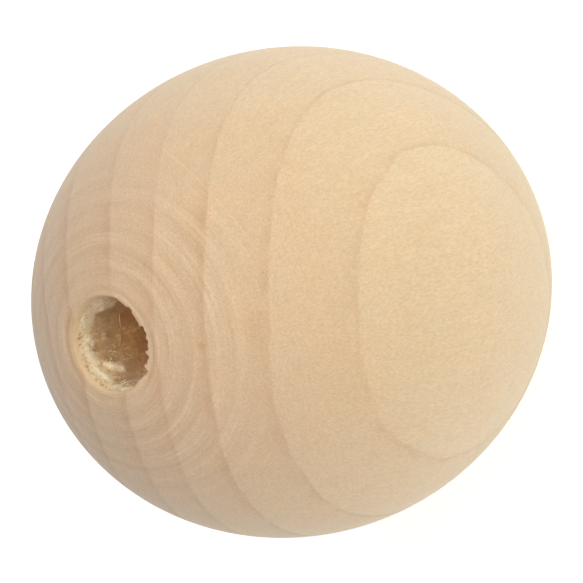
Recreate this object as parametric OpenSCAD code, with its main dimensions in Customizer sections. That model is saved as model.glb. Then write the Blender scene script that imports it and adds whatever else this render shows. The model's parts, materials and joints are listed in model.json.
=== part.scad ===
// Turned wooden bead with a cord hole bored through it.
// The origin is the middle of the bead and +Z runs along the bore.
// The side is a long oval turned round Z. Each end is faced off square to a flat ring, on which
// the bead stands, and the edge between that ring and the bore's wall is rounded over, so that a
// cord isn't cut.

/* [Bead] */
// Diameter across the bead, square to the bore
bead_d = 50; // [30:1:100]
// Length that the oval would have along the bore if its ends ran on to full crowns
crown_l = 56.9; // [35:0.1:110]

/* [Bore] */
// Diameter of the cord hole, bored right through
bore_d = 10; // [2:0.5:14]
// Radius that breaks the edge of each mouth of the bore
mouth_r = 0.3; // [0.2:0.1:2]
// Width of the flat ring that facing leaves round each mouth
land_w = 1.0; // [0.2:0.1:2]

/* [Hidden] */

// Smoothness of the round forms
$fn = 180;

bore_r = bore_d / 2;
// Where the rounded mouth meets the flat ring
mouth_outer_r = bore_r + mouth_r;
// Where the flat ring meets the oval side
land_r = mouth_outer_r + land_w;
// Height of each flat ring from the middle: there the oval is just as wide as the ring
end_z = crown_l / 2 * sqrt(1 - pow(2 * land_r / bead_d, 2));

// Side profile of the bead, before it is bored and faced
module oval() {
  scale([1, crown_l / bead_d])
    circle(d = bead_d);
}

// The half plane left of the bore's wall, which boring takes away
module bore_cut() {
  translate([bore_r - bead_d, -crown_l])
    square([bead_d, 2 * crown_l]);
}

// What facing one end takes away, with the end's flat ring at y = 0:
// all that stands above the ring, and the corner outside the rounded mouth
module facing_cut() {
  square([bead_d, crown_l]);
  difference() {
    translate([0, -mouth_r])
      square([mouth_outer_r, mouth_r]);
    translate([mouth_outer_r, -mouth_r])
      circle(r = mouth_r);
  }
}

module bead() {
  color("burlywood")
    rotate_extrude()
      difference() {
        oval();
        bore_cut();
        for (end = [0, 1])
          mirror([0, end])
            translate([0, end_z])
              facing_cut();
      }
}

bead();
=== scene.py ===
# Turned wooden bead on a pale floor.
#
# Everything made here is in metres in the part's own frame: the bore runs along Z and the bead stands on
# its end. The sizes below are in millimetres, and MM turns them into metres where a mesh is made.
# The bead's skin is a lathe mesh on the exact turned profile, with the marks that the lathe and the drill
# left worked into it. Its colour is one block of wood, so the growth rings run right through the bead.

import json
import math

import bpy
import numpy as np
from mathutils import Matrix, Vector


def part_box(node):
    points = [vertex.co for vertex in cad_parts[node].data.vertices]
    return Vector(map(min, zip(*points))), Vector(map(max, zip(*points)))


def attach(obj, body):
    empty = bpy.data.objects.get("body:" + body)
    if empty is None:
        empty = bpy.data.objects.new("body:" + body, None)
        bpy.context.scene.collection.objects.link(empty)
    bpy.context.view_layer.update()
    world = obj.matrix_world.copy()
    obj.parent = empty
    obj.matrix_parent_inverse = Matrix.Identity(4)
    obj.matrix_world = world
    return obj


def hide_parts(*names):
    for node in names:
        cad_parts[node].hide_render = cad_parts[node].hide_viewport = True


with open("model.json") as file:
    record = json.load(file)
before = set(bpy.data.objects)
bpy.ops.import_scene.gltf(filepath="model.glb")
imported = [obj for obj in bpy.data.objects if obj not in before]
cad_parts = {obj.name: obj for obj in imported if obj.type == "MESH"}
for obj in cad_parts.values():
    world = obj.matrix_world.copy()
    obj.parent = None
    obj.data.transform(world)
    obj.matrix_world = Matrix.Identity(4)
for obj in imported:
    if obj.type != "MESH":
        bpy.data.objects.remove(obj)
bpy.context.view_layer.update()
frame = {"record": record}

MM = 0.001

# ---------------------------------------------------------------------------------------------------
# Sizes of the bead, in millimetres, all from the frame
# ---------------------------------------------------------------------------------------------------
mounts = {m["name"]: m for m in frame["record"]["mounts"]}
box_low, box_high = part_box("bead")
BEAD_R = (box_high[0] - box_low[0]) / 2 / MM
END_Z = (box_high[2] - box_low[2]) / 2 / MM
BORE_R = mounts["bore"]["dims"]["r_mm"]
MOUTH_R = END_Z - mounts["bore"]["dims"]["length_mm"] / 2
RING_IN = BORE_R + MOUTH_R
RING_OUT = 2 * mounts["top_ring"]["pos_m"][0] / MM - RING_IN
CROWN_Z = END_Z / math.sqrt(1 - (RING_OUT / BEAD_R) ** 2)

# ---------------------------------------------------------------------------------------------------
# Where the photograph was taken from
# ---------------------------------------------------------------------------------------------------
PHOTO_SIDE = 583
# The ball's middle in the photograph, and its radius across the bore there
BALL_X_PX, BALL_Y_PX, BALL_R_PX = 292.0, 291.9, 244.7
# Angle between the line of sight and the bore, and where the bore points in the picture
BORE_TILT = math.radians(44.7)
BORE_TURN = math.radians(196.2)
# In metres: how far off the camera is, and the nearest and farthest that it sees
CAMERA_DISTANCE = 1.9
CAMERA_CLIP = (0.1, 10)

LINE_OF_SIGHT = Vector((0, -math.sin(BORE_TILT), math.cos(BORE_TILT)))
LEVEL_RIGHT = Vector((1, 0, 0))
LEVEL_UP = LINE_OF_SIGHT.cross(LEVEL_RIGHT)
ROLL = BORE_TURN - math.pi / 2
PICTURE_RIGHT = LEVEL_RIGHT * math.cos(ROLL) - LEVEL_UP * math.sin(ROLL)
PICTURE_UP = LEVEL_RIGHT * math.sin(ROLL) + LEVEL_UP * math.cos(ROLL)


def make_camera():
    data = bpy.data.cameras.new("camera")
    camera = bpy.data.objects.new("camera", data)
    bpy.context.collection.objects.link(camera)
    frame_width = PHOTO_SIDE / BALL_R_PX * BEAD_R * MM
    data.lens = data.sensor_width * CAMERA_DISTANCE / frame_width
    data.clip_start, data.clip_end = CAMERA_CLIP
    mm_per_px = BEAD_R / BALL_R_PX
    aside = PICTURE_RIGHT * (PHOTO_SIDE / 2 - BALL_X_PX) + PICTURE_UP * (BALL_Y_PX - PHOTO_SIDE / 2)
    place = LINE_OF_SIGHT * CAMERA_DISTANCE + aside * mm_per_px * MM
    turn = Matrix((PICTURE_RIGHT, PICTURE_UP, LINE_OF_SIGHT)).transposed().to_4x4()
    camera.matrix_world = Matrix.Translation(place) @ turn
    bpy.context.scene.camera = camera


# ---------------------------------------------------------------------------------------------------
# Smooth noise for shaping the mesh
# ---------------------------------------------------------------------------------------------------
# Large odd numbers that scatter neighbouring corners, one for each direction, the seed and a last mix
HASH_X, HASH_Y, HASH_Z, HASH_SEED, HASH_MIX = 374761393, 668265263, 2147483647, 974634777, 1274126177
HASH_MASK = 0xFFFFF


def lattice(ix, iy, iz, seed):
    """A fixed random number from -1 to 1 for each lattice corner."""
    h = ix * HASH_X + iy * HASH_Y + iz * HASH_Z + seed * HASH_SEED
    h = (h ^ (h >> 13)) * HASH_MIX
    h = h ^ (h >> 16)
    return (h & HASH_MASK) / (HASH_MASK // 2) - 1


def noise(x, y, z, seed):
    """Smooth noise from about -1 to 1, one unit between its humps."""
    cell = [np.floor(v).astype(np.int64) for v in (x, y, z)]
    part = [v - c for v, c in zip((x, y, z), cell)]
    ease = [f * f * (3 - 2 * f) for f in part]
    total = 0
    for dx in (0, 1):
        for dy in (0, 1):
            for dz in (0, 1):
                weight = (
                    (ease[0] if dx else 1 - ease[0])
                    * (ease[1] if dy else 1 - ease[1])
                    * (ease[2] if dz else 1 - ease[2])
                )
                total = total + weight * lattice(cell[0] + dx, cell[1] + dy, cell[2] + dz, seed)
    return total


def smoothstep(low, high, v):
    """0 below the low value, 1 above the high one, and a smooth climb between them."""
    t = np.clip((v - low) / (high - low), 0, 1)
    return t * t * (3 - 2 * t)


# ---------------------------------------------------------------------------------------------------
# The bead's mesh
# ---------------------------------------------------------------------------------------------------
# Corners round the bead
SEGMENTS = 300
# Steps along the profile: fine where the tool left marks, coarse where it is plain
STEP_MOUTH = 0.08
STEP_MARKED = 0.2
STEP_PLAIN = 0.8
STEP_WALL = 0.16
STEP_DEEP_WALL = 1.2
# The outline stops this many radians short of the equator, which gets a point of its own
EQUATOR_GAP = 0.01
# The lower half's detail as a share of the upper half's
LOWER_DETAIL = 0.5
# How far out from the bore the turning marks reach, and how deep into the bore its wall is detailed
MARKED_R = 19.0
WALL_DETAIL = 13.0


def half_profile(detail):
    """The bead's outline from the middle of the bore's wall, round the upper mouth, to the equator.

    Returns radius, height and the outward direction at each point. A detail under 1 makes the steps longer.
    """
    points = []

    def add(r, z, nr, nz):
        points.append((r, z, nr, nz))

    wall_top = END_Z - MOUTH_R
    plain_wall = wall_top - WALL_DETAIL
    for z in np.arange(0, plain_wall, STEP_DEEP_WALL / detail):
        add(BORE_R, z, -1, 0)
    wall_steps = round(WALL_DETAIL / STEP_WALL * detail)
    for z in np.linspace(plain_wall, wall_top, wall_steps, endpoint=False):
        add(BORE_R, z, -1, 0)
    mouth_steps = round(MOUTH_R * math.pi / 2 / STEP_MOUTH * detail)
    for a in np.linspace(math.pi, math.pi / 2, mouth_steps):
        add(RING_IN + MOUTH_R * math.cos(a), wall_top + MOUTH_R * math.sin(a), math.cos(a), math.sin(a))
    land_steps = max(2, round((RING_OUT - RING_IN) / STEP_MOUTH * detail))
    for r in np.linspace(RING_IN, RING_OUT, land_steps, endpoint=False)[1:]:
        add(r, END_Z, 0, 1)
    t = math.asin(RING_OUT / BEAD_R)
    while t < math.pi / 2 - EQUATOR_GAP:
        r, z = BEAD_R * math.sin(t), CROWN_Z * math.cos(t)
        nr, nz = r / BEAD_R**2, z / CROWN_Z**2
        size = math.hypot(nr, nz)
        add(r, z, nr / size, nz / size)
        step = STEP_MARKED if r < MARKED_R else STEP_PLAIN
        t += step / detail / math.hypot(BEAD_R * math.cos(t), CROWN_Z * math.sin(t))
    return np.array(points)


def full_profile():
    """The whole closed outline: the upper half in full detail, and the lower half plainer."""
    upper = half_profile(1.0)
    lower = half_profile(LOWER_DETAIL)[::-1] * (1, -1, 1, -1)
    equator = np.array([[BEAD_R, 0, 1, 0]])
    return np.vstack([upper, equator, lower[:-1]])


# The ripple that the turning tool left round the bore: its pitch, the radius of one crest and its depth
RIPPLE_PITCH = 2.06
RIPPLE_CREST = 8.55
RIPPLE_DEPTH = 0.02
# From this radius on, the marks fade out towards MARKED_R
FADE_R = 9.0
# Narrow scored lines: radius and depth, and half the width of each
SCORES = ((7.6, 0.03), (9.55, 0.03), (11.9, 0.018), (13.6, 0.012), (15.9, 0.015))
SCORE_WIDTH = 0.16
# How much a scored line's depth comes and goes, and how often round the bore
SCORE_PATCH, SCORE_TURNS = 0.35, 3.0
# The finest lines: their depth, their pitch and how often they change round the bore
FINE_DEPTH, FINE_PITCH, FINE_TURNS = 0.006, 0.35, 1.5
# Sanding took this off the whole outside
SANDED = 0.01


def turning_marks(r, angle):
    """Depth of the lathe's marks at each radius from the bore."""
    fade = 1 - smoothstep(FADE_R, MARKED_R, r)
    east, north = np.cos(angle), np.sin(angle)
    ripple = 0.5 - 0.5 * np.cos(2 * math.pi * (r - RIPPLE_CREST) / RIPPLE_PITCH)
    depth = RIPPLE_DEPTH * ripple * fade
    for radius, score in SCORES:
        around = noise(SCORE_TURNS * east, SCORE_TURNS * north, radius + 0 * r, seed=5)
        patchy = 1 - SCORE_PATCH + SCORE_PATCH * around
        depth = depth + score * patchy * np.exp(-(((r - radius) / SCORE_WIDTH) ** 2))
    fine = noise(r / FINE_PITCH, FINE_TURNS * east, FINE_TURNS * north, seed=6)
    return depth + FINE_DEPTH * (1 + fine) * fade


# Chips that the drill broke out of the upper mouth's edge: from, to, in degrees round the bore, and depth
EDGE_CHIPS = (
    (196, 203, 0.10), (215, 223, 0.26), (223, 232, 0.56), (236, 242, 0.30), (242, 248, 0.46),
    (252, 259, 0.40), (259, 265, 0.52), (265, 268, 0.42), (268, 274, 0.55), (274, 280, 0.46),
    (300, 308, 0.22), (322, 336, 0.10),
)
# How far to each side of a chip's ends it slopes
CHIP_SHOULDER = math.radians(1.1)
# A chip fades out between these depths below the mouth
CHIPS_FADE, CHIPS_GONE = 0.6, 2.6
# Small crumbs all round both edges: their size and depth
CRUMB_SIZE, CRUMB_DEPTH = 0.3, 0.03
# The broader chips of the lower mouth: their size and depth
LOWER_CHIP_SIZE, LOWER_CHIP_DEPTH = 1.4, 0.3
# The drill cut clean down to this depth below the mouth, and tore more and more over the next stretch
CLEAN_DEPTH, TEAR_EASE = 0.65, 0.8
# The torn wall's relief: size across and along the grain, depth, noise seed, and shift between the ends.
# The first two are channels along the grain and the others are lumps
TEARS = (
    (0.5, 2.2, 0.060, 11, 7), (0.25, 1.0, 0.036, 12, 0),
    (1.1, 1.1, 0.080, 13, 0), (0.4, 0.45, 0.048, 14, 0),
)
# Pits where bundles of fibre came away, in a belt between these depths: size across and along the grain
PITS_FROM, PITS_TO, PITS_EASE_IN, PITS_EASE_OUT = 0.82, 1.2, 0.1, 0.5
PIT_ACROSS, PIT_ALONG = 0.17, 0.30
# Their depth, how much it varies round the bore, and the side where they are deepest, in radians
PIT_DEPTH, PIT_SWING, PITS_SIDE = 0.16, 0.10, 2.0
# How far the bruised fibres swell into the bore, between two depths past the edge
SWELL, SWELL_FROM, SWELL_TO = 0.14, 0.2, 1.0

# Tufts of raised fibre on the upper end's wall, which are pale, and sunken spots, which are dark: angle in
# degrees round the bore, depth from the mouth, half-spread of each, and height as a share of TUFT_HEIGHT.
# The sunken spots' darkness is painted shade. The tufts' paleness is partly their own pale fluff and partly
# painted light
RAISED = (
    (35, 2.3, 9, 0.7, 1.00), (42, 1.7, 8, 0.6, 0.65), (51, 1.4, 7, 0.45, 0.50),
    (30, 3.7, 7, 0.8, 1.50), (38, 3.5, 6, 0.6, 1.10), (36, 4.8, 6, 0.6, 1.00),
    (24, 2.6, 8, 0.8, 1.10), (56, 2.2, 7, 0.6, 0.35), (76, 2.1, 4.5, 0.36, 0.95),
    (82, 2.5, 4, 0.30, 0.75), (87, 1.7, 5, 0.34, 0.85), (97, 1.9, 5, 0.40, 1.00),
    (103, 2.3, 4, 0.36, 0.70), (115, 1.9, 5, 0.40, 0.75), (122, 2.0, 5, 0.42, 0.90),
    (130, 2.1, 5, 0.40, 0.75), (111, 3.5, 4, 0.40, 0.80), (115, 3.9, 4, 0.50, 1.40),
    (118, 4.25, 4, 0.50, 0.90), (121, 4.6, 4, 0.50, 1.35), (125, 5.1, 4, 0.35, 0.90),
    (143, 1.7, 7, 0.40, 0.55), (150, 2.1, 6, 0.5, 0.40), (156, 3.0, 7, 0.6, 0.25),
    (164, 3.8, 7, 0.6, 0.20), (136, 3.4, 8, 0.6, 0.25), (170, 1.8, 12, 0.5, 0.45),
    (64, 1.3, 6, 0.3, 0.35),
)
SUNKEN = (
    (69, 3.3, 5, 0.6, -0.10), (77, 5.3, 4, 0.35, -0.85), (81, 5.8, 3.5, 0.3, -0.70),
    (49, 4.0, 3, 0.8, -0.60), (61, 5.3, 3, 0.6, -0.55), (90, 3.0, 3, 0.4, -0.35),
    (138, 3.1, 3, 0.5, -0.45), (141, 4.1, 3.5, 0.7, -0.65), (141, 5.1, 4, 0.6, -0.55),
    (105, 3.9, 3, 0.5, -0.40), (109, 4.8, 3, 0.5, -0.45), (47, 6.3, 5, 0.7, -0.55),
    (58, 7.6, 6, 0.7, -0.75), (68, 8.6, 6, 0.8, -0.60), (120, 6.5, 4, 0.5, -0.35),
    (130, 6.3, 4, 0.7, -0.40), (95, 9.3, 10, 1.0, -0.30),
)
TUFT_HEIGHT = 0.24
# A tuft's height is this uneven, in lumps of this size across and along the grain
TUFT_UNEVEN, TUFT_ACROSS, TUFT_ALONG = 0.4, 0.3, 0.6


def tufts(angle, depth):
    """Raised tufts as positive numbers and sunken spots as negative ones, on the upper end's wall."""
    total = 0 * depth
    for turn, deep, wide, tall, height in RAISED + SUNKEN:
        off = np.mod(angle - math.radians(turn) + math.pi, 2 * math.pi) - math.pi
        total = total + height * np.exp(-((off / math.radians(wide)) ** 2) - ((depth - deep) / tall) ** 2)
    return total


def edge_chips(angle):
    """Depth of the chips in the upper mouth's edge at each angle."""
    turn = np.mod(angle, 2 * math.pi)
    deep = 0 * turn
    for start, stop, depth in EDGE_CHIPS:
        a, b = math.radians(start), math.radians(stop)
        rise = smoothstep(a - CHIP_SHOULDER, a + CHIP_SHOULDER, turn)
        fall = 1 - smoothstep(b - CHIP_SHOULDER, b + CHIP_SHOULDER, turn)
        deep = np.maximum(deep, depth * rise * fall)
    return deep


def wall_noise(angle, z, across, along, seed, shift=0):
    """Noise on the bore's wall, with humps of these sizes across and along the grain."""
    x, y = np.cos(angle) * BORE_R, np.sin(angle) * BORE_R
    return noise(x / across, y / across, z / along + shift, seed)


def bore_tear(angle, z):
    """How far the drill tore the wall back, positive into the wood, by angle round the bore and height."""
    depth = END_Z - np.abs(z)
    end = np.sign(z)
    tear = 0
    for across, along, deep, seed, shift in TEARS:
        tear = tear + deep * wall_noise(angle, z, across, along, seed, shift * end)
    inside = smoothstep(CLEAN_DEPTH, CLEAN_DEPTH + TEAR_EASE, depth)
    tear = tear * inside
    pit = smoothstep(0.0, 0.45, wall_noise(angle, z, PIT_ACROSS, PIT_ALONG, seed=15))
    belt = smoothstep(PITS_FROM - PITS_EASE_IN, PITS_FROM + PITS_EASE_IN, depth)
    belt = belt * (1 - smoothstep(PITS_TO, PITS_TO + PITS_EASE_OUT, depth))
    tear = tear + (PIT_DEPTH + PIT_SWING * np.cos(angle - PITS_SIDE)) * pit * belt
    uneven = wall_noise(angle, z, TUFT_ACROSS, TUFT_ALONG, seed=18)
    uneven = 1 - TUFT_UNEVEN + TUFT_UNEVEN * uneven
    tear = tear - np.where(end > 0, TUFT_HEIGHT * tufts(angle, depth) * uneven * inside, 0)
    # The edge's own noise runs round the mouth only, and each end has its own place in it
    crumb = wall_noise(angle, 0 * z, CRUMB_SIZE, 1, seed=16, shift=3 * end)
    crumb = CRUMB_DEPTH * smoothstep(0.0, 0.8, crumb)
    lower = wall_noise(angle, 0 * z, LOWER_CHIP_SIZE, 1, seed=17, shift=5)
    lower = LOWER_CHIP_DEPTH * smoothstep(0.15, 0.6, lower)
    chip = np.where(end > 0, edge_chips(angle), lower)
    return tear + (chip + crumb) * (1 - smoothstep(CHIPS_FADE, CHIPS_GONE, depth))


def link_object(name, data):
    made = bpy.data.objects.new(name, data)
    bpy.context.collection.objects.link(made)
    return made


def add_values(mesh, name, values):
    """Keep a number for each point of the mesh, for the material to read."""
    layer = mesh.attributes.new(name, "FLOAT", "POINT")
    layer.data.foreach_set("value", values.astype(np.float32).ravel())


def build_bead(material):
    profile = full_profile()
    rows = len(profile)
    angle = np.linspace(0, 2 * math.pi, SEGMENTS, endpoint=False)[None, :]
    r, z, nr, nz = (profile[:, k][:, None] + 0 * angle for k in range(4))
    angle = angle + 0 * r

    cut = smoothstep(RING_IN, RING_OUT, r) * (SANDED + turning_marks(r, angle))
    # The tear fades out across the flat ring, so that the ring stays flat
    tear = (1 - smoothstep(BORE_R, RING_OUT - 0.1, r)) * bore_tear(angle, z)
    swell = SWELL * smoothstep(SWELL_FROM, SWELL_TO, END_Z - np.abs(z)) * (r < RING_IN)
    r_new = r - nr * cut + tear - swell
    z_new = z - nz * cut
    co = np.stack([r_new * np.cos(angle), r_new * np.sin(angle), z_new], axis=-1).reshape(-1, 3) * MM

    row = np.arange(rows)[:, None]
    col = np.arange(SEGMENTS)[None, :]
    next_row, next_col = (row + 1) % rows, (col + 1) % SEGMENTS
    corners = [(row, col), (row, next_col), (next_row, next_col), (next_row, col)]
    faces = np.stack([a * SEGMENTS + b for a, b in corners], axis=-1).reshape(-1, 4)

    mesh = bpy.data.meshes.new("turned_bead")
    mesh.from_pydata(co.tolist(), [], faces.tolist())
    mesh.polygons.foreach_set("use_smooth", np.ones(len(faces), bool))
    # The material reads these to paint shade into the torn-back and sunken wall and light onto the tufts
    add_values(mesh, "torn", tear)
    add_values(mesh, "tuft", np.where(z > 0, tufts(angle, END_Z - z), 0))
    mesh.update()
    mesh.materials.append(material)
    bead = link_object("turned_bead", mesh)
    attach(bead, "root")
    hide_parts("bead")


# ---------------------------------------------------------------------------------------------------
# Torn fibres that the drill left standing on the bore's wall
# ---------------------------------------------------------------------------------------------------
# Patches: angle round the bore in degrees, depth from the mouth, half-spread of each, number and length
FIBRE_PATCHES = (
    (36, 1.5, 14, 0.5, 60, 0.28),
    (28, 2.8, 9, 0.9, 34, 0.32),
    (62, 1.4, 14, 0.4, 16, 0.25),
    (84, 2.1, 12, 0.5, 60, 0.28),
    (103, 2.3, 8, 0.5, 40, 0.30),
    (115, 4.0, 8, 0.6, 44, 0.34),
    (135, 1.5, 18, 0.5, 60, 0.28),
    (150, 2.8, 10, 0.8, 20, 0.40),
    (88, 6.0, 24, 1.5, 6, 0.6),
    (248, 1.4, 50, 0.8, 20, 0.3),
    (330, 1.4, 40, 0.8, 20, 0.3),
)
# Single long fibres: angle and depth where each starts and where it ends, and its greatest radius
LONG_FIBRES = (
    ((53, 6.5), (76, 6.8), 0.085),
    ((78, 6.9), (95, 6.0), 0.060),
    ((68, 5.2), (74, 6.9), 0.035),
    ((106, 6.7), (131, 7.4), 0.050),
    ((112, 6.2), (121, 7.9), 0.035),
    ((48, 3.0), (60, 4.4), 0.030),
    ((92, 4.2), (88, 6.0), 0.035),
    ((98, 8.0), (118, 7.6), 0.035),
)
# A fibre's tube: corners round it and points along it
FIBRE_SIDES = 5
FIBRE_STEPS = 7
# The seed of the short fibres' random draws
FIBRE_SEED = 7
# How blunt a fibre's tips are: how far past them the taper would close, in steps, and its power
TIP_GAP, TIP_POWER = 0.6, 0.6
# Short fibres: radius, how far they start off the wall, and the least depth from the mouth
FIBRE_R, WALL_CLEAR, LEAST_DEPTH = 0.035, 0.06, 0.9
# How they vary: scatter over the patch, heading and curl in radians either way, and the share turned back
SCATTER, HEADING, CURL, TURNED_BACK = 0.6, 0.9, 1.2, 0.3
# Ranges of their length and thickness, as shares, and of how far they rise off the wall
LENGTH_RANGE, THICKNESS_RANGE, RISE_RANGE = (0.5, 1.3), (0.6, 1.4), (0.02, 0.22)
# Long fibres: how far their ends and middles stand off the wall, and how they sway to and fro
LONG_CLEAR, LONG_RISE, SWAY, SWAY_RATE = 0.15, 0.25, 0.12, 5


def on_wall(angle, depth, lift, end):
    """A point inside the bore, lifted off its swollen wall, in millimetres."""
    r = BORE_R - SWELL - lift
    return Vector((r * math.cos(angle), r * math.sin(angle), end * (END_Z - depth)))


def add_strand(points, radius, vertices, faces):
    """A thin tube along the points that tapers to both tips."""
    start = len(vertices)
    count = len(points)
    for k, point in enumerate(points):
        before, after = points[max(k - 1, 0)], points[min(k + 1, count - 1)]
        along = (after - before).normalized()
        side = along.cross(Vector((point.x, point.y, 0)).normalized()).normalized()
        lift = side.cross(along)
        share = (k + TIP_GAP) / (count - 1 + 2 * TIP_GAP)
        taper = radius * math.sin(math.pi * share) ** TIP_POWER
        for j in range(FIBRE_SIDES):
            turn = 2 * math.pi * j / FIBRE_SIDES
            place = point + (side * math.cos(turn) + lift * math.sin(turn)) * taper
            vertices.append(place * MM)
    for k in range(count - 1):
        for j in range(FIBRE_SIDES):
            a = start + k * FIBRE_SIDES + j
            b = start + k * FIBRE_SIDES + (j + 1) % FIBRE_SIDES
            faces.append((a, b, b + FIBRE_SIDES, a + FIBRE_SIDES))
    faces.append(tuple(start + j for j in reversed(range(FIBRE_SIDES))))
    faces.append(tuple(start + (count - 1) * FIBRE_SIDES + j for j in range(FIBRE_SIDES)))


def tuft_strands():
    """Short curled fibres in patches at both ends."""
    draw = np.random.default_rng(FIBRE_SEED)
    vertices, faces = [], []
    steps = np.linspace(0, 1, FIBRE_STEPS)
    for end in (1, -1):
        for angle, depth, spread, reach, number, length in FIBRE_PATCHES:
            for _ in range(number):
                a = math.radians(angle + spread * draw.normal() * SCATTER)
                d = max(LEAST_DEPTH, depth + reach * draw.normal() * SCATTER)
                heading = draw.uniform(-HEADING, HEADING) + (math.pi if draw.random() < TURNED_BACK else 0)
                size = length * draw.uniform(*LENGTH_RANGE)
                rise = draw.uniform(*RISE_RANGE)
                curl = draw.uniform(-CURL, CURL)
                points = []
                for t in steps:
                    bend = heading + curl * t
                    lift = WALL_CLEAR + rise * math.sin(math.pi * 0.5 * t)
                    a_t = a + size * t * math.sin(bend) / BORE_R
                    d_t = max(LEAST_DEPTH, d + size * t * math.cos(bend))
                    points.append(on_wall(a_t, d_t, lift, end))
                add_strand(points, FIBRE_R * draw.uniform(*THICKNESS_RANGE), vertices, faces)
    return vertices, faces


def long_strands():
    """The few long fibres that lie loose across the upper end's wall."""
    vertices, faces = [], []
    steps = np.linspace(0, 1, FIBRE_STEPS)
    for (a0, d0), (a1, d1), thickness in LONG_FIBRES:
        points = []
        for t in steps:
            angle = math.radians(a0 + (a1 - a0) * t)
            depth = d0 + (d1 - d0) * t + SWAY * math.sin(SWAY_RATE * t + a0)
            lift = LONG_CLEAR + LONG_RISE * math.sin(math.pi * t)
            points.append(on_wall(angle, depth, lift, 1))
        add_strand(points, thickness, vertices, faces)
    return vertices, faces


def build_fibres(name, strands, material):
    vertices, faces = strands
    mesh = bpy.data.meshes.new(name)
    mesh.from_pydata([tuple(v) for v in vertices], [], faces)
    mesh.polygons.foreach_set("use_smooth", np.ones(len(mesh.polygons), bool))
    mesh.update()
    mesh.materials.append(material)
    fibres = link_object(name, mesh)
    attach(fibres, "root")


# ---------------------------------------------------------------------------------------------------
# Materials
# ---------------------------------------------------------------------------------------------------
# Places of the colour sockets on Blender's Mix node
MIX_FACTOR, MIX_A, MIX_B, MIX_RESULT = 0, 6, 7, 2
# The tint that changes nothing
PLAIN = (1.0, 1.0, 1.0)


class Graph:
    """Short calls for building a node tree."""

    def __init__(self, name):
        self.material = bpy.data.materials.new(name)
        self.material.use_nodes = True
        self.tree = self.material.node_tree
        self.tree.nodes.clear()

    def node(self, kind, **settings):
        made = self.tree.nodes.new(kind)
        for key, value in settings.items():
            setattr(made, key, value)
        return made

    def feed(self, socket, value):
        if isinstance(value, bpy.types.NodeSocket):
            self.tree.links.new(value, socket)
        else:
            socket.default_value = value

    def math(self, operation, a, b=0.0):
        made = self.node("ShaderNodeMath", operation=operation)
        for socket, value in zip(made.inputs, (a, b)):
            self.feed(socket, value)
        return made.outputs[0]

    def add(self, a, b):
        return self.math("ADD", a, b)

    def sub(self, a, b):
        return self.math("SUBTRACT", a, b)

    def mul(self, a, b):
        return self.math("MULTIPLY", a, b)

    def step(self, value, low, high, to_low=0.0, to_high=1.0):
        made = self.node("ShaderNodeMapRange", interpolation_type="SMOOTHSTEP")
        for socket, v in zip(made.inputs, (value, low, high, to_low, to_high)):
            self.feed(socket, v)
        return made.outputs[0]

    def bump_at(self, value, centre, width):
        """1 where the value is at the centre, falling smoothly to 0 at a width from it."""
        return self.step(self.math("ABSOLUTE", self.sub(value, centre)), width, 0.0)

    def vector(self, x, y, z):
        made = self.node("ShaderNodeCombineXYZ")
        for socket, value in zip(made.inputs, (x, y, z)):
            self.feed(socket, value)
        return made.outputs[0]

    def split(self, vector):
        made = self.node("ShaderNodeSeparateXYZ")
        self.feed(made.inputs[0], vector)
        return made.outputs

    def noise(self, vector, scale, detail, roughness):
        made = self.node("ShaderNodeTexNoise")
        self.feed(made.inputs["Vector"], vector)
        made.inputs["Scale"].default_value = scale
        made.inputs["Detail"].default_value = detail
        made.inputs["Roughness"].default_value = roughness
        return made.outputs["Fac"]

    def ramp(self, factor, stops, interpolation="LINEAR"):
        made = self.node("ShaderNodeValToRGB")
        ramp = made.color_ramp
        ramp.interpolation = interpolation
        while len(ramp.elements) < len(stops):
            ramp.elements.new(0.5)
        for element, (place, colour) in zip(ramp.elements, stops):
            element.position = place
            element.color = (*colour, 1)
        self.feed(made.inputs["Fac"], factor)
        return made.outputs["Color"]

    def mix(self, factor, a, b, blend="MIX"):
        made = self.node("ShaderNodeMix", data_type="RGBA", blend_type=blend)
        self.feed(made.inputs[MIX_FACTOR], factor)
        for socket, value in ((MIX_A, a), (MIX_B, b)):
            self.feed(made.inputs[socket], value if isinstance(value, bpy.types.NodeSocket) else (*value, 1))
        return made.outputs[MIX_RESULT]

    def tint(self, colour, amount, effect):
        """A colour multiplied by an effect, as far as the amount says."""
        return self.mix(1.0, colour, self.mix(amount, PLAIN, effect), "MULTIPLY")

    def scaled(self, vector, factor):
        """A place in space, or a colour, times a number."""
        made = self.node("ShaderNodeVectorMath", operation="SCALE")
        self.feed(made.inputs[0], vector)
        self.feed(made.inputs["Scale"], factor)
        return made.outputs[0]

    def surface(self, values):
        """Finish the material with one Principled shader, whose inputs take these values by name."""
        skin = self.node("ShaderNodeBsdfPrincipled")
        for name, value in values.items():
            self.feed(skin.inputs[name], value)
        out = self.node("ShaderNodeOutputMaterial")
        self.tree.links.new(skin.outputs[0], out.inputs[0])
        return self.material


def grey(*stops):
    """Ramp stops from pairs of place and value."""
    return [(place, (value,) * 3) for place, value in stops]


# The tree's pith beside the bead, and how it leans as the height grows
PITH = (6.5, 24.1)
PITH_LEAN = (-0.307, 0.040)
# How far the growth rings bow from true circles at BOW_REACH from the middle: along the grain, askew, and
# more to one side with the height
BOW_ALONG, BOW_ASKEW, BOW_SIDE = 1.18, 1.83, 1.46
BOW_REACH = 20.0
# Where each year's growth ends, as its distance from the pith, and how strongly its last wood shows
YEARS = (
    (3.5, 0.8), (7.5, 0.7), (11.2, 1.0), (15.4, 0.8), (19.2, 0.9), (23.9, 1.25), (29.6, 1.1),
    (33.9, 0.8), (38.15, 1.1), (42.5, 1.0), (47.05, 0.6), (51.5, 0.8), (56.0, 0.8),
)
LAST_YEAR = YEARS[-1][0]
# The most that a year's strength can be, which a colour ramp needs to hold it as a share
SHOW_TOP = 2.0
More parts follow.
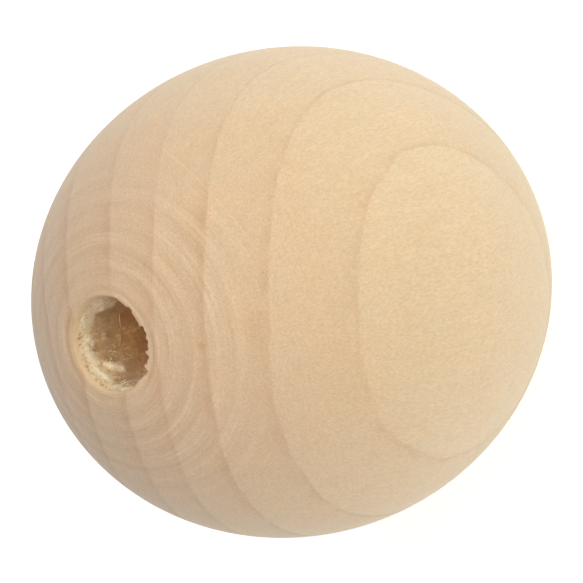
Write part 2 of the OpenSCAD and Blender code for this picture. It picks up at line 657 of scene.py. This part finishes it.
# How far the rings waver, slowly and quickly
SLOW_WAVER, QUICK_WAVER = 0.5, 0.42
# The rings come and go in patches between these shares
RINGS_WEAK, RINGS_STRONG = 0.5, 1.3
# They grow faint on one side of the bead, down to a share, between these places along X
FAINT_FROM, FAINT_TO, FAINT_SHARE = 9.0, 23.0, 0.4
# How each year's last wood shows as the year goes by, cut along the grain and cut across it, and its first
LATE_THIN = grey(
    (0.0, 0.0), (0.55, 0.0), (0.88, 0.16), (0.940, 0.32), (0.962, 1.0), (0.990, 1.0), (1.0, 0.1),
)
LATE_BROAD = grey(
    (0.0, 0.0), (0.50, 0.0), (0.80, 0.35), (0.90, 0.85), (0.945, 1.0), (0.985, 0.45), (1.0, 0.15),
)
EARLY = grey((0.0, 0.1), (0.05, 0.8), (0.18, 0.55), (0.45, 0.0), (1.0, 0.0))

# Colours of the wood: cut along the grain, and cut across it at each end, where the upper end is pinker.
# The lower end is greyer and less red partly as painted light: it gives the lower rim the greyish cast that
# light at a grazing angle gives it
LONG_GRAIN = (0.680, 0.484, 0.246)
UPPER_END = (0.684, 0.449, 0.247)
LOWER_END = (0.520, 0.410, 0.200)
# The colours of the two ends meet over this height to each side of the equator
ENDS_MEET = 10.0
# What the last wood and the first wood of a year do to those colours
LATE_LONG, LATE_END = (0.850, 0.770, 0.660), (0.900, 0.825, 0.735)
EARLY_LONG, EARLY_END = (1.030, 1.060, 1.100), (1.035, 1.060, 1.090)

# Noise in the wood: how it is drawn out along the grain, where 1 is not at all, scale, detail, roughness
SLOW, QUICK, RING_PATCHES = (1, 0.12, 2, 0.5), (1, 0.6, 3, 0.5), (1, 0.30, 2, 0.5)
DASHES, SPECKS, STREAKS = (0.30, 5.0, 3, 0.65), (1, 7.0, 2, 0.6), (0.08, 1.5, 3, 0.6)
FLECKS, BLOTCHES, WARM_PATCHES = (0.22, 2.6, 1, 0.5), (1, 0.20, 3, 0.5), (1, 0.55, 2, 0.5)
FUZZ, FINE_FUZZ = (0.5, 3.0, 3, 0.7), (1, 6.0, 2, 0.6)
# Noise round the bore: how fast it changes round it and outwards, scale, detail, roughness
BAND_PATCHES, TOOL_LINES = (1.6, 0.25, 1.0, 2, 0.5), (1, 3.0, 1.0, 2, 0.7)
RIM_PATCHES = (1, 0.8, 2.2, 3, 0.6)

# The pores are dashes and specks in these shares, and darken and lighten the wood by these factors
DASH_SHARE, SPECK_SHARE = 0.6, 0.4
PORE_DARK, PORE_LIGHT = 0.880, 1.115
STREAK_DARK, STREAK_LIGHT = 0.98, 1.02
# Small flecks of the wood's rays, and slow drifts of its colour
FLECK, FLECK_SHARE = (0.93, 0.89, 0.84), 0.5
BLOTCH, WARM = (1.012, 0.985, 0.94), (0.985, 0.965, 0.93)

# Round the bore: burnished pale bands, and dull bands between them
BAND_PALE, BAND_DULL = (1.085, 1.125, 1.230), (0.915, 0.900, 0.885)
# They fade out from this radius, and follow the ripple and finer lines in these shares
BAND_FADE_R, RIPPLE_SHARE, LINE_SHARE = 11.0, 0.45, 4.0
# Close round the mouth: a pale strip away from FAR_SIDE, and a dull line in two arcs, about DULL_SIDE and
# opposite it. Both lie nearer the bore on FAR_SIDE, by MOUTH_SHIFT
RIM_PALE, RIM_DULL = (1.24, 1.23, 1.16), (0.84, 0.78, 0.70)
FAR_SIDE, DULL_SIDE = math.radians(92), math.radians(75)
MOUTH_SHIFT = 0.38
PALE_AT, PALE_WIDTH = 5.36, 0.40
DULL_AT, DULL_WIDTH = 6.02, 0.32
# The scratch across the upper end: its radius is a quadratic in the angle round the bore, in radians
SCRATCH_R, SCRATCH_SLOPE, SCRATCH_BEND = 20.6, 6.24, 3.05
# Where the scratch fades in and where it fades out
SCRATCH_IN, SCRATCH_OUT = (-1.42, -1.20), (-0.20, -0.40)
SCRATCH_WIDTH = 0.07
# The fainter scratch beside it: how far nearer the bore, its width and its strength
BESIDE, BESIDE_WIDTH, BESIDE_SHARE = 0.7, 0.06, 0.5
# The brown smear beside the bore: radius, width across, angle and half-width in radians
SMEAR_R, SMEAR_WIDTH, SMEAR_ANGLE, SMEAR_TURN = 11.1, 1.0, math.radians(-104), 0.05
SCRATCH, SMEAR = (1.12, 1.13, 1.12), (0.97, 0.88, 0.76)

# The bore's wall where it is torn, from its deepest pits to its raised tufts, as places on a ramp. Its dark
# end is painted shade in the pits and hollows and deep in the bore. Its pale end is partly the tufts' own
# pale fluff and partly painted light
SHADED_TORN_COLOURS = (
    (0.15, (0.45, 0.235, 0.055)),
    (0.47, (0.57, 0.335, 0.100)),
    (0.68, (0.88, 0.64, 0.33)),
    (0.88, (1.0, 0.84, 0.55)),
)
# Where the drill cut it clean, pale partly from its own side grain and partly as painted light, and the
# painted bounce light that warms the colour deep in the bore, between two depths
CLEAN_LIT_COLOUR = (0.89, 0.645, 0.330)
DEEP_WARMTH, WARM_FROM, WARM_TO = (1.34, 1.20, 0.86), 5.0, 8.5
# What moves the place on that ramp: how far the wall is torn back, fuzz, tufts and the tufts' own fuzz.
# Wall that is torn back or sunken goes darker as painted shade, and raised tufts go paler partly as painted
# light
TORN_SHARE, FUZZ_SHARE, TUFT_SHARE, TUFT_FUZZ = -1.2, 0.8, 0.52, 3.0
# It also moves from the first value to the second between these depths, as painted shade that darkens the
# wall deeper in the bore
SHALLOW_LIGHT, DEEP_SHADE, SHADE_FROM, SHADE_TO = 0.24, -0.05, 1.9, 3.6

# Fine relief in the wood's surface, and its sheen
BUMP_HEIGHT, BUMP_STRENGTH, LINE_RELIEF = 0.08, 0.35, 0.8
GLOSS, WOOD_SHEEN, FIBRE_SHEEN, SHEEN_ROUGHNESS = 0.35, 0.32, 0.15, 0.9
# Loose fibres: the short ones in tufts, and the long ones, with spots about a millimetre long. The short
# ones' pale colour is partly their own and partly painted light that brightens the tufts
FIBRE_DARK, FIBRE_PALE = (0.80, 0.63, 0.36), (1.0, 0.88, 0.62)
LONG_DARK, LONG_PALE = (0.56, 0.38, 0.18), (0.80, 0.60, 0.34)
SPOTS_PER_MM = 0.9


class Place:
    """Where a point on the bead is, as sockets that every part of the wood's colour can read."""

    def __init__(self, g):
        metres = g.node("ShaderNodeTexCoord").outputs["Object"]
        self.x, self.y, self.z = g.split(g.scaled(metres, 1 / MM))
        self.radius = g.math("SQRT", g.add(g.mul(self.x, self.x), g.mul(self.y, self.y)))
        self.depth = g.sub(END_Z, g.math("ABSOLUTE", self.z))
        self.angle = g.math("ARCTAN2", self.y, self.x)
        self.east, self.north = g.math("COSINE", self.angle), g.math("SINE", self.angle)
        # 0 where the surface runs along the grain, 1 where it is cut square across
        normal = g.split(g.node("ShaderNodeNewGeometry").outputs["Normal"])
        self.end_grain = g.step(g.math("ABSOLUTE", normal[2]), 0.0, 1.0)
        # 1 on the upper end and 0 on the lower one
        self.upper = g.step(self.z, 0.0, 5.0)


def grain_noise(g, at, stretch, scale, detail, roughness):
    """Noise in the block of wood, which a stretch under 1 draws out along the grain."""
    return g.noise(g.vector(at.x, at.y, g.mul(at.z, stretch)), scale, detail, roughness)


def round_noise(g, at, per_turn, per_mm, scale, detail, roughness):
    """Noise round the bore, changing this fast round it and outwards."""
    place = g.vector(g.mul(at.east, per_turn), g.mul(at.north, per_turn), g.mul(at.radius, per_mm))
    return g.noise(place, scale, detail, roughness)


def pith_distance(g, at):
    """Distance from the pith, bowed and wavering, as a share of the last year's."""
    away_x = g.sub(g.sub(at.x, PITH[0]), g.mul(at.z, PITH_LEAN[0]))
    away_y = g.sub(g.sub(at.y, PITH[1]), g.mul(at.z, PITH_LEAN[1]))
    distance = g.math("SQRT", g.add(g.mul(away_x, away_x), g.mul(away_y, away_y)))
    across = math.hypot(*PITH)
    s = g.mul(g.add(g.mul(at.x, -PITH[1] / across), g.mul(at.y, PITH[0] / across)), 1 / BOW_REACH)
    h = g.mul(at.z, 1 / BOW_REACH)
    bow = g.mul(h, g.add(g.add(g.mul(h, BOW_ALONG), g.mul(s, BOW_ASKEW)), g.mul(g.mul(s, h), BOW_SIDE)))
    slow = g.mul(g.sub(grain_noise(g, at, *SLOW), 0.5), SLOW_WAVER)
    quick = g.mul(g.sub(grain_noise(g, at, *QUICK), 0.5), QUICK_WAVER)
    return g.mul(g.add(g.add(distance, bow), g.add(slow, quick)), 1 / LAST_YEAR)


def year_phase(g, at):
    """How far through its year the wood at a point is, from 0 to 1, and how strongly that year shows."""
    distance = pith_distance(g, at)
    count = len(YEARS)
    ends = [end / LAST_YEAR for end, _ in YEARS]
    clock = g.ramp(distance, grey((0, 0), *((end, (k + 1) / count) for k, end in enumerate(ends))))
    shows = ((start, show / SHOW_TOP) for start, (_, show) in zip([0] + ends, YEARS))
    show = g.mul(g.ramp(distance, grey(*shows), "CONSTANT"), SHOW_TOP)
    return g.math("FRACT", g.mul(clock, count)), show


def growth_rings(g, at, colour):
    """Darken each year's last wood and lighten its first."""
    phase, show = year_phase(g, at)
    patches = g.step(grain_noise(g, at, *RING_PATCHES), 0.3, 0.7, RINGS_WEAK, RINGS_STRONG)
    show = g.mul(g.mul(show, patches), g.step(at.x, FAINT_FROM, FAINT_TO, 1.0, FAINT_SHARE))
    thin = g.mul(g.ramp(phase, LATE_THIN), g.sub(1.0, at.end_grain))
    broad = g.mul(g.ramp(phase, LATE_BROAD), at.end_grain)
    colour = g.tint(colour, g.mul(thin, show), LATE_LONG)
    colour = g.tint(colour, g.mul(broad, show), LATE_END)
    early = g.mul(g.ramp(phase, EARLY), show)
    return g.tint(colour, early, g.mix(at.end_grain, EARLY_LONG, EARLY_END))


def fine_grain(g, at, colour, pores):
    """Pores, streaks along the grain, ray flecks and slow drifts of colour."""
    colour = g.scaled(colour, g.step(pores, 0.32, 0.68, PORE_DARK, PORE_LIGHT))
    colour = g.scaled(colour, g.step(grain_noise(g, at, *STREAKS), 0.3, 0.7, STREAK_DARK, STREAK_LIGHT))
    flecks = g.step(grain_noise(g, at, *FLECKS), 0.66, 0.74)
    colour = g.tint(colour, g.mul(flecks, FLECK_SHARE), FLECK)
    colour = g.tint(colour, g.step(grain_noise(g, at, *BLOTCHES), 0.35, 0.65), BLOTCH)
    return g.tint(colour, g.step(grain_noise(g, at, *WARM_PATCHES), 0.45, 0.75), WARM)


def burnished_bands(g, at, colour):
    """Bands that the lathe burnished round the bore. Returns the colour and the lines' relief."""
    patches = g.step(round_noise(g, at, *BAND_PATCHES), 0.3, 0.65, 0.5, 1.3)
    strength = g.mul(g.step(at.radius, BAND_FADE_R, MARKED_R + 2, 1.0, 0.0), patches)
    strength = g.mul(strength, g.step(at.radius, RING_IN - 0.1, RING_IN + 0.1))
    lines = g.sub(round_noise(g, at, *TOOL_LINES), 0.5)
    ripple = g.math("COSINE", g.mul(g.sub(at.radius, RIPPLE_CREST), 2 * math.pi / RIPPLE_PITCH))
    swing = g.add(g.mul(ripple, RIPPLE_SHARE), g.mul(lines, LINE_SHARE))
    colour = g.tint(colour, g.mul(strength, g.math("MAXIMUM", swing, 0.0)), BAND_PALE)
    colour = g.tint(colour, g.mul(strength, g.math("MAXIMUM", g.mul(swing, -1.0), 0.0)), BAND_DULL)
    return colour, g.mul(lines, strength)


def mouth_rings(g, at, colour):
    """The pale strip and the dull line close round the mouth."""
    far = g.math("COSINE", g.sub(at.angle, FAR_SIDE))
    shifted = g.add(at.radius, g.mul(far, MOUTH_SHIFT))
    patches = round_noise(g, at, *RIM_PATCHES)
    pale = g.mul(g.bump_at(shifted, PALE_AT, PALE_WIDTH), g.step(far, 0.2, -0.4))
    colour = g.tint(colour, g.mul(pale, g.step(patches, 0.3, 0.7, 0.6, 1.2)), RIM_PALE)
    arcs = g.step(g.math("ABSOLUTE", g.math("COSINE", g.sub(at.angle, DULL_SIDE))), 0.70, 0.92)
    dull = g.mul(g.bump_at(shifted, DULL_AT, DULL_WIDTH), arcs)
    return g.tint(colour, g.mul(dull, g.step(patches, 0.3, 0.7, 1.2, 0.6)), RIM_DULL)


def marks_of_use(g, at, colour):
    """Two fine scratches and an orange-brown smear on the upper end."""
    scratch_r = g.add(g.mul(at.angle, g.add(g.mul(at.angle, SCRATCH_BEND), SCRATCH_SLOPE)), SCRATCH_R)
    here = g.mul(g.step(at.angle, *SCRATCH_IN), g.step(at.angle, *SCRATCH_OUT))
    beside = g.bump_at(at.radius, g.sub(scratch_r, BESIDE), BESIDE_WIDTH)
    scratch = g.add(g.bump_at(at.radius, scratch_r, SCRATCH_WIDTH), g.mul(beside, BESIDE_SHARE))
    colour = g.tint(colour, g.mul(g.mul(scratch, here), at.upper), SCRATCH)
    smear = g.mul(g.bump_at(at.radius, SMEAR_R, SMEAR_WIDTH), g.bump_at(at.angle, SMEAR_ANGLE, SMEAR_TURN))
    return g.tint(colour, g.mul(smear, at.upper), SMEAR)


def bore_wall(g, at, colour):
    """A clean pale cut just inside the mouth, then torn wood, dark where it is deep. The darkness in the
    hollows and deep in the bore is painted shade, and the paleness of the cut and the tufts is partly
    painted light.
    """
    torn = g.node("ShaderNodeAttribute", attribute_name="torn").outputs["Fac"]
    tuft = g.node("ShaderNodeAttribute", attribute_name="tuft").outputs["Fac"]
    fuzz = g.sub(grain_noise(g, at, *FUZZ), 0.5)
    fine = g.sub(grain_noise(g, at, *FINE_FUZZ), 0.5)
    # Place on the ramp: torn-back, sunken and deeper wall moves towards its dark end as painted shade
    raised = g.add(g.mul(torn, TORN_SHARE), g.mul(fuzz, FUZZ_SHARE))
    raised = g.add(raised, g.mul(tuft, g.add(TUFT_SHARE, g.mul(fine, TUFT_FUZZ))))
    raised = g.add(raised, g.step(at.depth, SHADE_FROM, SHADE_TO, SHALLOW_LIGHT, DEEP_SHADE))
    shaded_wall_colour = g.ramp(g.add(raised, 0.5), SHADED_TORN_COLOURS)
    shaded_wall_colour = g.tint(shaded_wall_colour, g.step(at.depth, WARM_FROM, WARM_TO), DEEP_WARMTH)
    # The pale clean cut, partly painted light, gives way below it to the darker torn wall, partly painted
    # shade
    wall_colour = g.mix(g.step(at.depth, PITS_FROM - 0.15, PITS_FROM + 0.2), CLEAN_LIT_COLOUR, shaded_wall_colour)
    wall = g.mul(g.step(at.radius, RING_OUT, RING_IN), g.step(at.depth, 0.10, 0.20))
    return g.mix(wall, colour, wall_colour)


def wood_material():
    g = Graph("turned_wood")
    at = Place(g)
    dashes, specks = grain_noise(g, at, *DASHES), grain_noise(g, at, *SPECKS)
    pores = g.add(g.mul(dashes, DASH_SHARE), g.mul(specks, SPECK_SHARE))

    end_colour = g.mix(g.step(at.z, -ENDS_MEET, ENDS_MEET), LOWER_END, UPPER_END)
    colour = g.mix(at.end_grain, LONG_GRAIN, end_colour)
    colour = growth_rings(g, at, colour)
    colour = fine_grain(g, at, colour, pores)
    colour, relief = burnished_bands(g, at, colour)
    colour = mouth_rings(g, at, colour)
    colour = marks_of_use(g, at, colour)
    colour = bore_wall(g, at, colour)

    bump = g.node("ShaderNodeBump")
    bump.inputs["Strength"].default_value = BUMP_STRENGTH
    bump.inputs["Distance"].default_value = BUMP_HEIGHT * MM
    g.feed(bump.inputs["Height"], g.add(pores, g.mul(relief, LINE_RELIEF)))
    return g.surface({
        "Base Color": colour,
        "Roughness": g.step(pores, 0.2, 0.8, 0.68, 0.54),
        "Normal": bump.outputs[0],
        "Specular IOR Level": GLOSS,
        "Sheen Weight": WOOD_SHEEN,
        "Sheen Roughness": SHEEN_ROUGHNESS,
    })


def fibre_material(name, dark, pale):
    g = Graph(name)
    metres = g.node("ShaderNodeTexCoord").outputs["Object"]
    spots = g.noise(metres, SPOTS_PER_MM / MM, 2, 0.5)
    return g.surface({
        "Base Color": g.ramp(spots, [(0.3, dark), (0.7, pale)]),
        "Roughness": g.step(spots, 0.3, 0.7, 0.75, 0.6),
        "Sheen Weight": FIBRE_SHEEN,
        "Sheen Roughness": SHEEN_ROUGHNESS,
    })


# ---------------------------------------------------------------------------------------------------
# Floor and light
# ---------------------------------------------------------------------------------------------------
# All in metres: half the floor's width, and how far the soft boxes stand and how wide they are
FLOOR_HALF = 3.0
BOX_DISTANCE, BOX_SIDE = 0.6, 0.45
# Each soft box: its direction in the picture as right, up and nearer, and its power in watts
SOFT_BOXES = {
    "front": ((0, 0, 1), 1.60),
    "upper_left": ((-0.5, 0.5, 0.707), 1.25),
    "low": ((0, -1, 0.09), 0.40),
}
WHITE, FLOOR_COLOUR = (1, 1, 1, 1), (0.85, 0.85, 0.85, 1)
FLOOR_GLOW, SKY_STRENGTH = 0.6, 0.27


def make_floor():
    z = -END_Z * MM
    side = FLOOR_HALF
    corners = [(-side, -side, z), (side, -side, z), (side, side, z), (-side, side, z)]
    mesh = bpy.data.meshes.new("floor")
    mesh.from_pydata(corners, [], [(0, 1, 2, 3)])
    material = Graph("pale_floor").surface({
        "Base Color": FLOOR_COLOUR,
        "Roughness": 0.9,
        "Specular IOR Level": 0.0,
        "Emission Color": WHITE,
        "Emission Strength": FLOOR_GLOW,
    })
    mesh.materials.append(material)
    link_object("floor", mesh)


def soft_light(name, toward, power):
    """A square soft box that faces the bead from a direction in the picture."""
    direction = PICTURE_RIGHT * toward[0] + PICTURE_UP * toward[1] + LINE_OF_SIGHT * toward[2]
    direction.normalize()
    data = bpy.data.lights.new(name, "AREA")
    data.shape = "SQUARE"
    data.size = BOX_SIDE
    data.energy = power
    light = link_object(name, data)
    light.location = direction * BOX_DISTANCE
    light.rotation_mode = "QUATERNION"
    light.rotation_quaternion = direction.to_track_quat("Z", "Y")
    light.visible_camera = False


def make_light():
    world = bpy.data.worlds.new("studio")
    bpy.context.scene.world = world
    world.use_nodes = True
    background = world.node_tree.nodes["Background"]
    background.inputs["Color"].default_value = WHITE
    background.inputs["Strength"].default_value = SKY_STRENGTH
    for name, (toward, power) in SOFT_BOXES.items():
        soft_light(name, toward, power)
    bpy.context.scene.view_settings.view_transform = "Standard"


make_camera()
make_floor()
make_light()
build_bead(wood_material())
build_fibres("torn_fibres", tuft_strands(), fibre_material("torn_fibre", FIBRE_DARK, FIBRE_PALE))
build_fibres("long_fibres", long_strands(), fibre_material("long_fibre", LONG_DARK, LONG_PALE))
